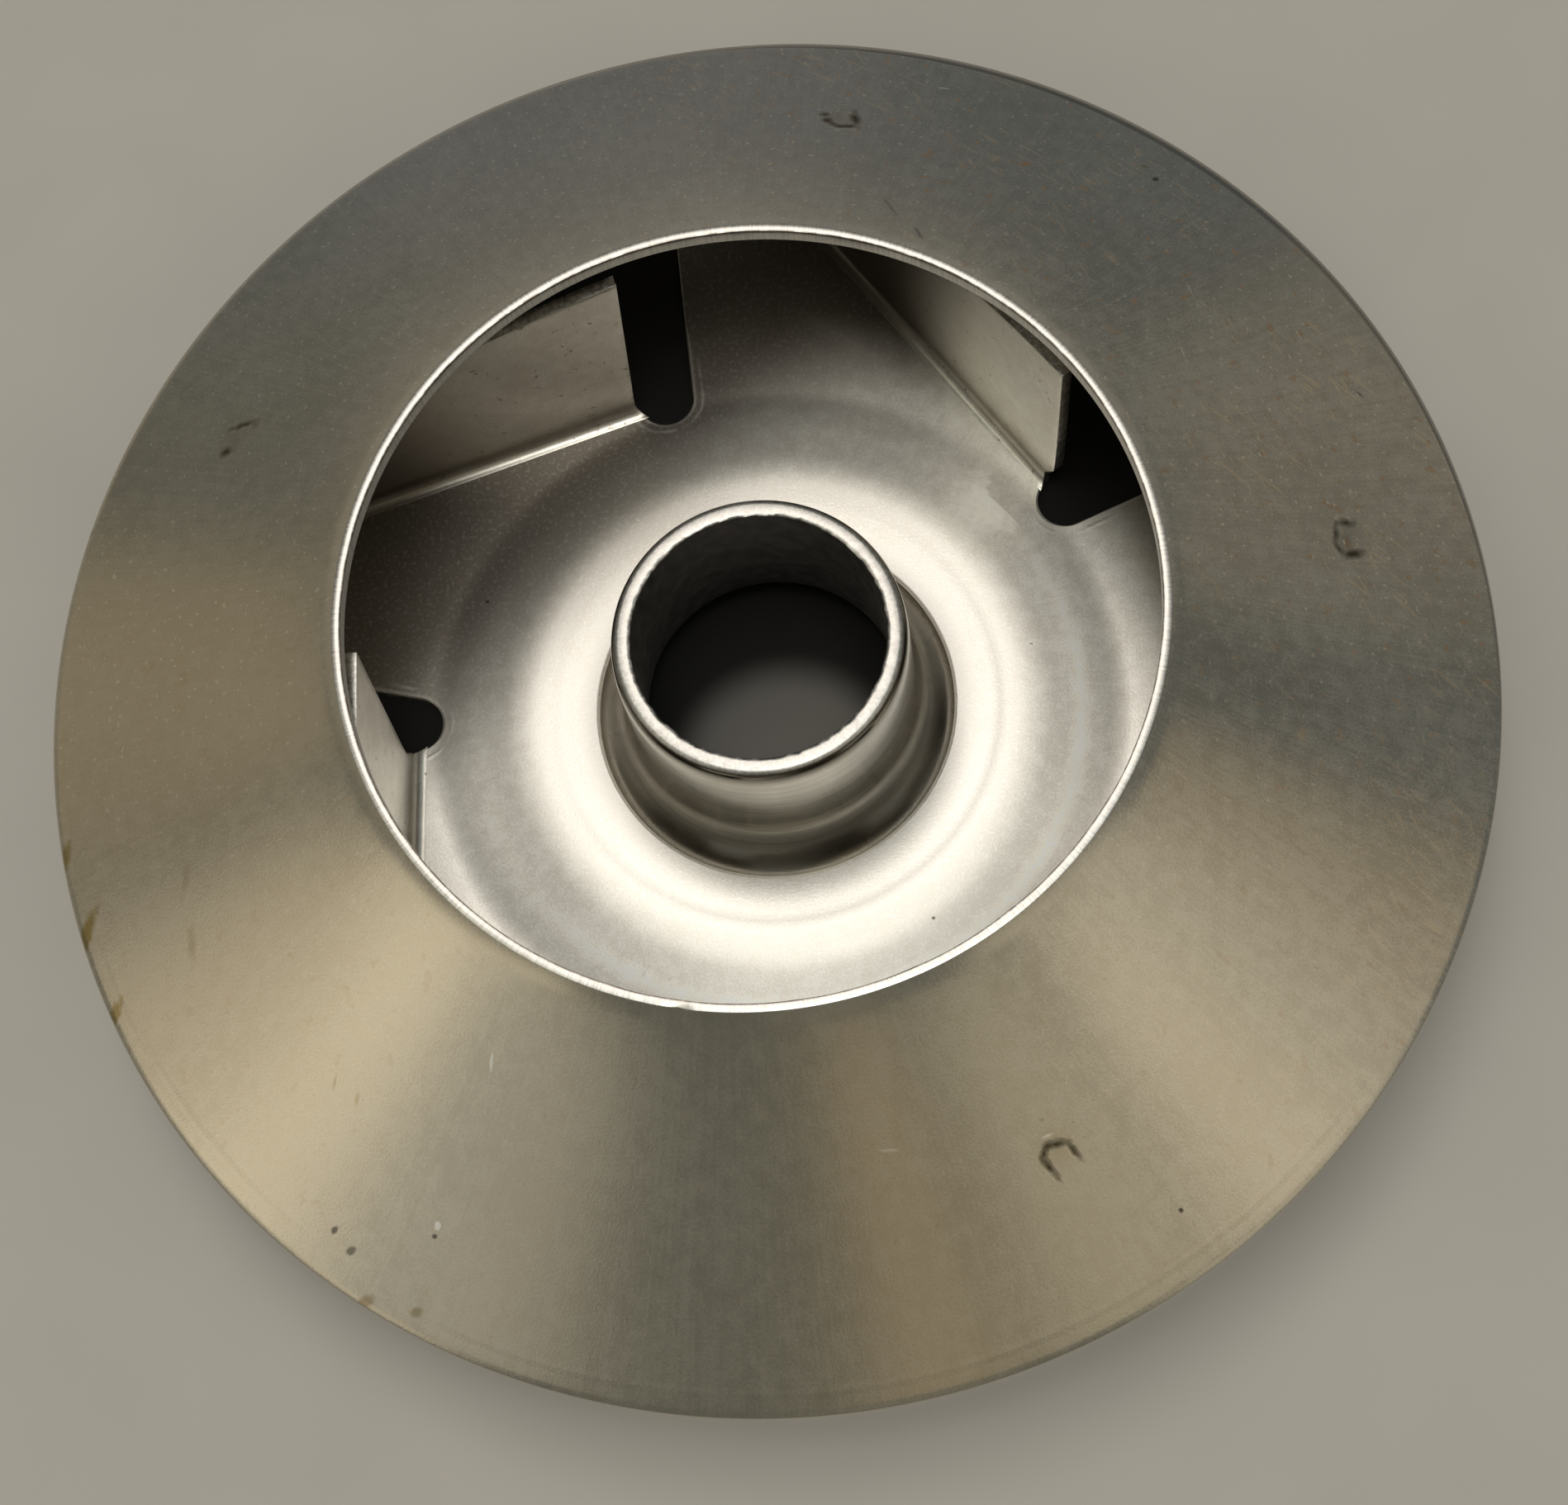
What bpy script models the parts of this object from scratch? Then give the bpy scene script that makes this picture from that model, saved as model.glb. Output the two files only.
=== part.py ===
# Pressed stainless pump impeller: conical front shroud, back plate with five vanes
# bent up out of it, and a drawn hub sleeve. Built in millimetres, stored in metres.
import bpy
import bmesh
import math

# Driving dimensions, millimetres. Heights are above the floor the part lies on.
outer_radius = 65.0
rim_height = 13.6
eye_outer_radius = 34.96
eye_inner_radius = 34.21
eye_height = 30.95
sheet = 1.1
plate_radius = 64.2
plate_top = 1.1
boss_top = 3.54
boss_hole_radius = 16.7
boss_flat_radius = 22.2
bore_radius = 11.13
bore_foot_radius = 11.8
hub_top = 21.9
flange_radius = 21.6
vane_count = 5
first_vane_turn = 20.0
vane_inner_face = 34.75
bend_radius = 1.2
gap = 0.3
slot_centre = (0.45, 34.75)
slot_radius = 2.65
slot_lean = 13.3
window_outer_radius = 60.6
ring_steps = 84

mm = 0.001

for old in list(bpy.data.objects):
    bpy.data.objects.remove(old, do_unlink=True)


def steel(name, colour, roughness):
    material = bpy.data.materials.new(name)
    material.use_nodes = True
    shader = material.node_tree.nodes["Principled BSDF"]
    shader.inputs["Base Color"].default_value = (*colour, 1.0)
    shader.inputs["Metallic"].default_value = 1.0
    shader.inputs["Roughness"].default_value = roughness
    return material


satin_steel = steel("satin_steel", (0.46, 0.44, 0.40), 0.38)
plate_steel = steel("plate_steel", (0.55, 0.53, 0.49), 0.33)
polished_steel = steel("polished_steel", (0.58, 0.56, 0.52), 0.18)
vane_steel = steel("vane_steel", (0.57, 0.55, 0.51), 0.30)


def finish(name, bm, material):
    bmesh.ops.remove_doubles(bm, verts=bm.verts, dist=0.000001)
    bmesh.ops.recalc_face_normals(bm, faces=bm.faces)
    mesh = bpy.data.meshes.new(name)
    bm.to_mesh(mesh)
    bm.free()
    mesh.materials.append(material)
    piece = bpy.data.objects.new(name, mesh)
    bpy.context.scene.collection.objects.link(piece)
    return piece


def smooth_by_angle(piece, degrees):
    for face in piece.data.polygons:
        face.use_smooth = True
    bm = bmesh.new()
    bm.from_mesh(piece.data)
    limit = math.radians(degrees)
    for edge in bm.edges:
        sharp = len(edge.link_faces) != 2 or edge.calc_face_angle(0.0) > limit
        edge.smooth = not sharp
    bm.to_mesh(piece.data)
    bm.free()


def revolved(profile, steps):
    bm = bmesh.new()
    rings = []
    for step in range(steps):
        angle = 2.0 * math.pi * step / steps
        c = math.cos(angle)
        s = math.sin(angle)
        rings.append([bm.verts.new((r * c * mm, r * s * mm, z * mm)) for r, z in profile])
    count = len(profile)
    for step in range(steps):
        here = rings[step]
        there = rings[(step + 1) % steps]
        for i in range(count):
            j = (i + 1) % count
            bm.faces.new((here[i], there[i], there[j], here[j]))
    return bm


# Outer face of the shroud: a cone that steepens towards the eye.
shroud_slope = [
    (outer_radius, 25.0), (60.0, 25.6), (55.0, 26.5), (50.0, 27.4), (45.0, 28.9),
    (42.0, 30.8), (40.0, 33.0), (38.5, 35.5), (37.2, 39.0), (36.2, 43.5), (35.5, 49.0),
    (eye_outer_radius, 55.0),
]


def shroud_outer():
    points = [(outer_radius, 0.0)]
    for (r0, a0), (r1, a1) in zip(shroud_slope, shroud_slope[1:]):
        rise = (r0 - r1) * math.tan(math.radians((a0 + a1) / 2.0))
        points.append((r1, points[-1][1] + rise))
    stretch = (eye_height - 0.05 - rim_height) / points[-1][1]
    return [(r, rim_height + z * stretch) for r, z in points]


outer_line = shroud_outer()


def shroud_under(r):
    # height of the shroud's underside at radius r
    for i in range(len(under_line) - 1):
        r0, z0 = under_line[i]
        r1, z1 = under_line[i + 1]
        if r1 <= r <= r0:
            return z0 + (z1 - z0) * (r0 - r) / (r0 - r1)
    return under_line[0][1] if r > under_line[0][0] else under_line[-1][1]


def offset_line(points, distance):
    moved = []
    for i, (r, z) in enumerate(points):
        r0, z0 = points[max(i - 1, 0)]
        r1, z1 = points[min(i + 1, len(points) - 1)]
        length = math.hypot(r1 - r0, z1 - z0)
        normal_r = (z1 - z0) / length
        normal_z = (r0 - r1) / length
        moved.append((r - normal_r * distance, z - normal_z * distance))
    return moved


under_line = [p for p in offset_line(outer_line, sheet) if p[0] > eye_inner_radius + 0.2]
under_line[0] = (outer_radius, under_line[0][1] - 0.2)

lip_foot = (eye_inner_radius, shroud_under(eye_inner_radius + 0.3) + 0.1)
shroud_profile = (
    outer_line
    + [(eye_outer_radius - 0.12, eye_height), (eye_inner_radius + 0.08, eye_height)]
    + [(eye_inner_radius, eye_height - 0.08), lip_foot]
    + under_line[::-1]
)
front_shroud = finish("front_shroud", revolved(shroud_profile, ring_steps), satin_steel)
smooth_by_angle(front_shroud, 28.0)

# steepness of the step down from the boss: even, and rounded off at both ends
step_slopes = [(boss_flat_radius, 0.0), (24.8, 0.26), (31.4, 0.26), (33.4, 0.0)]


def step_fall(r):
    fallen = 0.0
    for (r0, s0), (r1, s1) in zip(step_slopes, step_slopes[1:]):
        run = max(0.0, min(r, r1) - r0)
        fallen += run * (s0 + (s1 - s0) * run / (r1 - r0) / 2.0)
    return fallen


# Back plate: raised flat boss round the hub, a gentle step down, then flat to its rim.
step_radii = [boss_flat_radius, 23.0, 23.8, 24.8, 26.4, 28.0, 29.8, 31.4, 32.2, 32.8, 33.4]
plate_top_line = [(boss_hole_radius, boss_top - 0.25), (boss_hole_radius + 0.3, boss_top)]
step_scale = (boss_top - plate_top) / step_fall(step_radii[-1])
for r in step_radii:
    plate_top_line.append((r, boss_top - step_scale * step_fall(r)))
plate_top_line.append((plate_radius - 0.15, plate_top))
plate_top_line.append((plate_radius, plate_top - 0.15))

plate_under_line = [(plate_radius, 0.0)]
for r in step_radii[::-1]:
    plate_under_line.append((r, boss_top - sheet - step_scale * step_fall(r)))
plate_under_line.append((boss_hole_radius, boss_top - sheet))
back_shroud = finish(
    "back_shroud", revolved(plate_top_line + plate_under_line, ring_steps), plate_steel
)


def turned(x, y, degrees):
    c = math.cos(math.radians(degrees))
    s = math.sin(math.radians(degrees))
    return (c * x - s * y, s * x + c * y)


foot_start = vane_inner_face - bend_radius
plate_cut = foot_start - gap
foot_end = -48.4
wall_end = -52.8


def window_outline():
    # the slot's round end, then the cut line of the bend, the outer arc and the slot's far side
    cx, cy = slot_centre
    points = []
    lean = math.radians(slot_lean)
    stop = -180.0 + math.degrees(math.asin((cy - plate_cut) / slot_radius))
    for i in range(13):
        angle = math.radians(-slot_lean + (stop + slot_lean) * i / 12.0)
        points.append((cx + slot_radius * math.cos(angle), cy + slot_radius * math.sin(angle)))
    left = foot_end - gap
    points.append((left, plate_cut))
    points.append((left, math.sqrt(window_outer_radius ** 2 - left ** 2)))
    start = math.atan2(points[-1][1], points[-1][0])
    along = (math.sin(lean), math.cos(lean))
    px, py = points[0]
    b = px * along[0] + py * along[1]
    reach = -b + math.sqrt(b * b - (px * px + py * py - window_outer_radius ** 2))
    corner = (px + along[0] * reach, py + along[1] * reach)
    end = math.atan2(corner[1], corner[0])
    for i in range(1, 15):
        angle = start + (end - start) * i / 15.0
        points.append((window_outer_radius * math.cos(angle), window_outer_radius * math.sin(angle)))
    points.append(corner)
    return points


for index in range(vane_count):
    turn = first_vane_turn + index * 360.0 / vane_count
    bm = bmesh.new()
    outline = [turned(x, y, turn) for x, y in window_outline()]
    low = [bm.verts.new((x * mm, y * mm, -0.002)) for x, y in outline]
    high = [bm.verts.new((x * mm, y * mm, 0.008)) for x, y in outline]
    bm.faces.new(low)
    bm.faces.new(high)
    for i in range(len(outline)):
        j = (i + 1) % len(outline)
        bm.faces.new((low[i], low[j], high[j], high[i]))
    cutter = finish("window_cutter_%d" % (index + 1), bm, plate_steel)
    cutter.hide_render = True
    cutter.display_type = "WIRE"
    cut = back_shroud.modifiers.new("window_%d" % (index + 1), "BOOLEAN")
    cut.operation = "DIFFERENCE"
    cut.solver = "EXACT"
    cut.object = cutter

for face in back_shroud.data.polygons:
    face.use_smooth = False

# Hub sleeve: drawn collar, rounded shoulder, flared foot and a flange under the boss.
hub_profile = [
    (bore_radius + 0.08, hub_top), (12.15, hub_top), (12.55, hub_top - 0.18),
    (12.9, hub_top - 0.6), (13.05, hub_top - 1.3), (13.1, hub_top - 2.4), (13.15, 13.0),
    (13.25, 9.0), (13.45, 7.2), (13.9, 5.7), (14.6, 4.3), (15.4, 3.3), (16.3, 2.55),
    (17.2, 2.2), (18.0, 2.12), (flange_radius, 2.12), (flange_radius, 1.0), (16.4, 1.0),
    (14.6, 1.25), (13.2, 1.95), (12.3, 3.0), (bore_foot_radius, 4.3), (11.55, 7.5),
    (bore_radius, 14.0), (bore_radius, hub_top - 0.08),
]
hub_sleeve = finish("hub_sleeve", revolved(hub_profile, 64), polished_steel)
smooth_by_angle(hub_sleeve, 40.0)

# Vanes: one sheet each, from the foot in the plate's plane round the bend and up.
wall_start = plate_top + bend_radius
vane_rows = [0.0, 0.012, 0.12, 0.25, 0.4, 0.55, 0.7, 0.85, 1.0]
bend_steps = 6
length_steps = 22
# top edge near the eye: cut straight and low, so it meets the shroud only at the weld
vane_edge = [(-1.0, 25.35), (-5.0, 24.9), (-8.0, 24.5), (-13.6, 23.35), (-36.0, 18.96), (-56.0, 15.04)]


def vane_top(x):
    under = shroud_under(math.hypot(x, vane_inner_face + sheet)) - gap - 0.05
    for (x0, z0), (x1, z1) in zip(vane_edge, vane_edge[1:]):
        if x1 <= x <= x0:
            return min(under, z0 + (z1 - z0) * (x - x0) / (x1 - x0))
    return min(under, vane_edge[0][1])


def vane_section():
    rows = []
    for i in range(bend_steps + 1):
        angle = math.radians(-90.0 + 90.0 * i / bend_steps)
        rows.append((math.cos(angle), math.sin(angle)))
    return rows


def vane_mesh(turn):
    bm = bmesh.new()
    inner = []
    outer = []
    bend_y = foot_start
    bend_z = plate_top + bend_radius
    for c, s in vane_section()[:-1]:
        low_x = -1.75 - 0.95 * c
        row_in = []
        row_out = []
        for k in range(length_steps + 1):
            x = low_x + (foot_end - low_x) * k / length_steps
            row_in.append((x, bend_y + bend_radius * c, bend_z + bend_radius * s))
            row_out.append((x, bend_y + (bend_radius + sheet) * c, bend_z + (bend_radius + sheet) * s))
        inner.append(row_in)
        outer.append(row_out)
    for n, v in enumerate(vane_rows):
        start_x = -2.7 + 1.7 * v
        end_x = foot_end if n == 0 else wall_end
        row_in = []
        row_out = []
        for k in range(length_steps + 1):
            x = start_x + (end_x - start_x) * k / length_steps
            z = wall_start + (vane_top(x) - wall_start) * v
            row_in.append((x, vane_inner_face, z))
            row_out.append((x, vane_inner_face + sheet, z))
        inner.append(row_in)
        outer.append(row_out)

    def add(rows):
        made = []
        for row in rows:
            placed = []
            for x, y, z in row:
                wx, wy = turned(x, y, turn)
                placed.append(bm.verts.new((wx * mm, wy * mm, z * mm)))
            made.append(placed)
        return made

    a = add(inner)
    b = add(outer)
    rows = len(a)
    for i in range(rows - 1):
        for k in range(length_steps):
            bm.faces.new((a[i][k], a[i][k + 1], a[i + 1][k + 1], a[i + 1][k]))
            bm.faces.new((b[i][k], b[i + 1][k], b[i + 1][k + 1], b[i][k + 1]))
        bm.faces.new((a[i][0], a[i + 1][0], b[i + 1][0], b[i][0]))
        bm.faces.new((a[i][-1], b[i][-1], b[i + 1][-1], a[i + 1][-1]))
    for k in range(length_steps):
        bm.faces.new((a[0][k], b[0][k], b[0][k + 1], a[0][k + 1]))
        bm.faces.new((a[-1][k], a[-1][k + 1], b[-1][k + 1], b[-1][k]))
    return bm


for index in range(vane_count):
    turn = first_vane_turn + index * 360.0 / vane_count
    vane = finish("vane_%d" % (index + 1), vane_mesh(turn), vane_steel)
    smooth_by_angle(vane, 30.0)
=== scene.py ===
import bpy
import math
from mathutils import Matrix, Vector, noise


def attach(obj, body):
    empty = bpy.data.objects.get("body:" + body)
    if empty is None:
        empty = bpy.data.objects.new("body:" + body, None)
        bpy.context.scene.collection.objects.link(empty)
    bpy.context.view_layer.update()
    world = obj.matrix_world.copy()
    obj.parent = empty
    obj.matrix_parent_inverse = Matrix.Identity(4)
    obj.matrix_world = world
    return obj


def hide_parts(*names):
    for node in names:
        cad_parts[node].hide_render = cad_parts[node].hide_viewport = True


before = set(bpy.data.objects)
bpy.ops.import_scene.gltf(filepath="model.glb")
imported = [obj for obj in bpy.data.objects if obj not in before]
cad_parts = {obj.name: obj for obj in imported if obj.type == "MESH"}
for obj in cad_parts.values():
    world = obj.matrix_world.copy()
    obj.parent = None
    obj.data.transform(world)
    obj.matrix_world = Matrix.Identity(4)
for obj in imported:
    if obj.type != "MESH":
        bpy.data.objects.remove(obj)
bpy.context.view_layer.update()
mm = 0.001
fifth = 72.0  # degrees between one vane and the next
print("frame loaded", sorted(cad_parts))


# small modelling helpers

def goTo(mode):
    bpy.ops.object.mode_set(mode=mode)


def selectMesh():
    bpy.ops.mesh.select_all(action="SELECT")


def deselectAll():
    if bpy.context.mode != "OBJECT":
        goTo("OBJECT")
    bpy.ops.object.select_all(action="DESELECT")


def makeOnly(piece):
    deselectAll()
    piece.select_set(True)
    bpy.context.view_layer.objects.active = piece


def startPoint(name, x, y, z):
    # a plane merged to one vertex, ready to be extruded along a profile
    deselectAll()
    bpy.ops.mesh.primitive_plane_add(size=mm, location=(0, 0, 0))
    piece = bpy.context.active_object
    piece.name = piece.data.name = name
    goTo("EDIT")
    selectMesh()
    bpy.ops.mesh.merge(type="CENTER")
    bpy.ops.transform.translate(value=(x * mm, y * mm, z * mm))
    return piece


def drawOn(dx, dy, dz):
    bpy.ops.mesh.extrude_region_move(TRANSFORM_OT_translate={"value": (dx * mm, dy * mm, dz * mm)})


def spinProfile(name, outline, steps):
    # the closed outline is drawn point by point at +X, then spun round the axis
    piece = startPoint(name, outline[0][0], 0, outline[0][1])
    for (r0, z0), (r1, z1) in zip(outline, outline[1:] + outline[:1]):
        drawOn(r1 - r0, 0, z1 - z0)
    selectMesh()
    bpy.ops.mesh.remove_doubles(threshold=0.00001)
    bpy.ops.mesh.spin(steps=steps, angle=2 * math.pi, center=(0, 0, 0), axis=(0, 0, 1))
    selectMesh()
    bpy.ops.mesh.remove_doubles(threshold=0.00001)
    bpy.ops.mesh.normals_make_consistent(inside=False)
    goTo("OBJECT")
    return piece


def smoothTo(piece, degrees):
    makeOnly(piece)
    bpy.ops.object.shade_smooth_by_angle(angle=math.radians(degrees))


def faceOutwards(piece):
    makeOnly(piece)
    goTo("EDIT")
    selectMesh()
    bpy.ops.mesh.normals_make_consistent(inside=False)
    goTo("OBJECT")


def applyModifier(piece, kind, **values):
    makeOnly(piece)
    modifier = piece.modifiers.new(kind.lower(), kind)
    for key, value in values.items():
        setattr(modifier, key, value)
    bpy.ops.object.modifier_apply(modifier=modifier.name)


def turned(x, y, degrees):
    c = math.cos(math.radians(degrees))
    s = math.sin(math.radians(degrees))
    return c * x - s * y, s * x + c * y


def between(x, table):
    # straight-line reading of a short table of pairs
    for (x0, y0), (x1, y1) in zip(table, table[1:]):
        if min(x0, x1) <= x <= max(x0, x1):
            return y0 + (y1 - y0) * (x - x0) / (x1 - x0)
    return table[0][1] if abs(x - table[0][0]) < abs(x - table[-1][0]) else table[-1][1]


def offsetLine(points, distance):
    moved = []
    for i, (r, z) in enumerate(points):
        r0, z0 = points[max(i - 1, 0)]
        r1, z1 = points[min(i + 1, len(points) - 1)]
        length = math.hypot(r1 - r0, z1 - z0)
        moved.append((r - (z1 - z0) / length * distance, z - (r0 - r1) / length * distance))
    return moved


# shader helpers and shared finish groups

def put(tree, kind, settings=None, *values, **named):
    node = tree.nodes.new("ShaderNode" + kind)
    for key, value in (settings or {}).items():
        setattr(node, key, value)
    wanted = list(enumerate(values)) + list(named.items())
    for key, value in wanted:
        if value is None:
            continue
        socket = node.inputs[key.replace("_", " ") if isinstance(key, str) else key]
        if isinstance(value, bpy.types.NodeSocket):
            tree.links.new(value, socket)
        else:
            socket.default_value = value
    return node


def calc(tree, operation, *values, clamp=False):
    node = put(tree, "Math", {"operation": operation, "use_clamp": clamp}, *values)
    return node.outputs[0]


def times(tree, *values, clamp=False):
    return calc(tree, "MULTIPLY", *values, clamp=clamp)


def plus(tree, *values, clamp=False):
    return calc(tree, "ADD", *values, clamp=clamp)


def minus(tree, *values, clamp=False):
    return calc(tree, "SUBTRACT", *values, clamp=clamp)


def blend(tree, first, second, a, b):
    return plus(tree, times(tree, first, a), times(tree, second, b))


def spread(tree, x, y):
    # how far x and y lie from the middle
    return calc(tree, "SQRT", plus(tree, times(tree, x, x), times(tree, y, y)))


def ramp(tree, value, low, high, outLow=0.0, outHigh=1.0):
    node = put(tree, "MapRange", {"interpolation_type": "SMOOTHSTEP"}, value, low, high, outLow, outHigh)
    return node.outputs[0]


def line(tree, value, centre, width):
    # 1 at the centre, falling evenly to 0 at the given width on both sides
    away = calc(tree, "ABSOLUTE", minus(tree, value, centre))
    return minus(tree, 1.0, calc(tree, "DIVIDE", away, width), clamp=True)


def tint(tree, mask, first, second):
    node = put(tree, "Mix", {"data_type": "RGBA"})
    for index, value in ((0, mask), (6, first), (7, second)):
        if isinstance(value, bpy.types.NodeSocket):
            tree.links.new(value, node.inputs[index])
        else:
            node.inputs[index].default_value = value
    return node.outputs[2]


def cloud(tree, vector, scale, detail=2.0, rough=0.5, flat=True):
    # on pieces that lie level the noise is read in plan, which renders faster
    kind = {"noise_dimensions": "2D" if flat else "3D"}
    return put(tree, "TexNoise", kind, Vector=vector, Scale=scale, Detail=detail, Roughness=rough).outputs[0]


def stretched(tree, place, **named):
    # the vector moved, turned and drawn out, as a texture is
    return put(tree, "Mapping", {"vector_type": "TEXTURE"}, Vector=place, **named).outputs[0]


def scaled(tree, vector, factor):
    return put(tree, "VectorMath", {"operation": "SCALE"}, vector, Scale=factor).outputs[0]


def shiftedBy(tree, vector, move):
    return put(tree, "VectorMath", {"operation": "ADD"}, vector, move).outputs[0]


def planPlace(tree, place):
    # x and y on the piece, in millimetres
    split = put(tree, "SeparateXYZ", None, place)
    return [times(tree, split.outputs[i], 1000.0) for i in (0, 1)]


def startGroup(name, inputs, outputs):
    group = bpy.data.node_groups.new(name, "ShaderNodeTree")
    for label, kind, value in inputs:
        socket = group.interface.new_socket(name=label, in_out="INPUT", socket_type="NodeSocket" + kind)
        if value is not None:
            socket.default_value = value
    for label, kind in outputs:
        group.interface.new_socket(name=label, in_out="OUTPUT", socket_type="NodeSocket" + kind)
    source = group.nodes.new("NodeGroupInput").outputs
    target = group.nodes.new("NodeGroupOutput").inputs
    return group, source, target


def useGroup(tree, group, **named):
    node = tree.nodes.new("ShaderNodeGroup")
    node.node_tree = group
    for key, value in named.items():
        socket = node.inputs[key]
        if isinstance(value, bpy.types.NodeSocket):
            tree.links.new(value, socket)
        else:
            socket.default_value = value
    return node.outputs


def buildPolar():
    # radius in millimetres, and the direction from the axis as a unit vector
    t, source, target = startGroup("roundTheAxis", [("Vector", "Vector", None)],
                                   [("Radius", "Float"), ("Away", "Vector"), ("Height", "Float")])
    flat = put(t, "VectorMath", {"operation": "MULTIPLY"}, source["Vector"], (1000, 1000, 0)).outputs[0]
    radius = put(t, "VectorMath", {"operation": "LENGTH"}, flat).outputs["Value"]
    away = put(t, "VectorMath", {"operation": "NORMALIZE"}, flat).outputs[0]
    split = put(t, "SeparateXYZ", None, source["Vector"])
    t.links.new(radius, target["Radius"])
    t.links.new(away, target["Away"])
    t.links.new(times(t, split.outputs[2], 1000.0), target["Height"])
    return t


def buildGrain(flat):
    # the fine speckle of pressed sheet, with a few brighter crystals and a faint drawn grain
    t, source, target = startGroup("pressedGrainLevel" if flat else "pressedGrainUpright",
                                   [("Vector", "Vector", None), ("Streaks", "Float", 0.3)],
                                   [("Tone", "Float"), ("Height", "Float"), ("Sparkle", "Float")])
    fine = cloud(t, source["Vector"], 4300.0, 2.0, 0.65, flat)
    medium = cloud(t, source["Vector"], 620.0, 2.0, 0.55, flat)
    broad = cloud(t, source["Vector"], 70.0, 2.0, 0.5, flat)
    mixed = blend(t, fine, medium, 0.42, 0.33)
    mixed = plus(t, mixed, times(t, broad, 0.25))
    if flat:
        polar = polarOf(t, source["Vector"])
        along = scaled(t, polar["Away"], 150.0)
        lift = put(t, "CombineXYZ", None, 0.0, 0.0, times(t, polar["Radius"], 0.09)).outputs[0]
        streak = cloud(t, shiftedBy(t, along, lift), 1.0, 1.0, 0.6, False)
        mixed = plus(t, mixed, times(t, minus(t, streak, 0.5), source["Streaks"]))
    t.links.new(mixed, target["Tone"])
    t.links.new(fine, target["Height"])
    t.links.new(ramp(t, fine, 0.64, 0.78), target["Sparkle"])
    return t


def buildSpot():
    # a soft ragged spot of radius 1 in the vector it is given
    t, source, target = startGroup("raggedSpot", [("Vector", "Vector", None), ("Uneven", "Float", 0.5),
                                                  ("Soft", "Float", 0.3), ("Strength", "Float", 1.0)],
                                   [("Mask", "Float")])
    flat = put(t, "VectorMath", {"operation": "MULTIPLY"}, source["Vector"], (1, 1, 0)).outputs[0]
    length = put(t, "VectorMath", {"operation": "LENGTH"}, flat).outputs["Value"]
    edge = minus(t, minus(t, 1.4, length), times(t, source["Uneven"], 0.8))
    inside = calc(t, "DIVIDE", edge, source["Soft"], clamp=True)
    t.links.new(times(t, inside, source["Strength"]), target["Mask"])
    return t


def buildScratches():
    # short thin handling scratches that run down to the right, in loose patches
    t, source, target = startGroup("handlingScratches",
                                   [("Vector", "Vector", None), ("Amount", "Float", 0.5)],
                                   [("Mask", "Float")])
    total = None
    for angle, scale, cut in ((-0.62, 2300.0, 0.735), (-1.15, 2900.0, 0.75)):
        way = stretched(t, source["Vector"], Rotation=(0, 0, angle), Scale=(8.0, 1.0, 1.0))
        one = ramp(t, cloud(t, way, scale, 0.0), cut, cut + 0.06)
        total = one if total is None else calc(t, "MAXIMUM", total, one)
    patch = ramp(t, cloud(t, source["Vector"], 95.0, 0.0), 0.46, 0.62)
    t.links.new(times(t, times(t, total, patch), source["Amount"], clamp=True), target["Mask"])
    return t


def buildRings():
    # turned or drawn rings round the axis; Climb lets them follow an upright wall
    t, source, target = startGroup("turnedRings", [("Vector", "Vector", None), ("Pitch", "Float", 6.0),
                                                   ("Climb", "Float", 0.0)],
                                   [("Tone", "Float")])
    polar = polarOf(t, source["Vector"])
    place = plus(t, polar["Radius"], times(t, polar["Height"], source["Climb"]))
    around = scaled(t, polar["Away"], 0.7)
    lift = put(t, "CombineXYZ", None, 0.0, 0.0, times(t, place, source["Pitch"])).outputs[0]
    t.links.new(cloud(t, shiftedBy(t, around, lift), 1.0, 2.0, 0.7, False), target["Tone"])
    return t


def polarOf(tree, vector):
    return useGroup(tree, shared["polar"], Vector=vector)


shared = {}
shared["polar"] = buildPolar()
shared["levelGrain"] = buildGrain(True)
shared["uprightGrain"] = buildGrain(False)
shared["spot"] = buildSpot()
shared["scratches"] = buildScratches()
shared["rings"] = buildRings()
print("finish groups built")


def startMaterial(name, metallic=1.0, roughness=0.3):
    material = bpy.data.materials.new(name)
    material.use_nodes = True
    tree = material.node_tree
    shader = tree.nodes["Principled BSDF"]
    shader.inputs["Metallic"].default_value = metallic
    shader.inputs["Roughness"].default_value = roughness
    place = put(tree, "TexCoord").outputs["Object"]
    return material, tree, place


def finishMaterial(material, colour, rough, height, strength=0.5, distance=0.00002):
    tree = material.node_tree
    shader = tree.nodes["Principled BSDF"]
    tree.links.new(colour, shader.inputs["Base Color"])
    tree.links.new(rough, shader.inputs["Roughness"])
    bump = put(tree, "Bump", None, Strength=strength, Distance=distance, Height=height)
    tree.links.new(bump.outputs[0], shader.inputs["Normal"])
    return material


def addSpots(tree, place, uneven, colour, rough, spots):
    # each spot is x, y, half width, stretch, turn, strength, its own colour and its softness
    dent = None
    for x, y, size, stretch, turn, strength, shade, soft in spots:
        way = stretched(tree, place, Location=(x * mm, y * mm, 0), Rotation=(0, 0, math.radians(turn)),
                        Scale=(size * stretch * mm, size * mm, 1))
        mask = useGroup(tree, shared["spot"], Vector=way, Uneven=uneven, Soft=soft, Strength=strength)["Mask"]
        colour = tint(tree, mask, colour, (*shade, 1.0))
        if shade == burnt:
            dent = mask if dent is None else calc(tree, "MAXIMUM", dent, mask)
    if dent is not None:
        rough = plus(tree, rough, times(tree, dent, 0.2))
    return colour, rough, dent


def addFinishes(piece, *finishes):
    for finish in finishes:
        piece.data.materials.append(finish)


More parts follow.
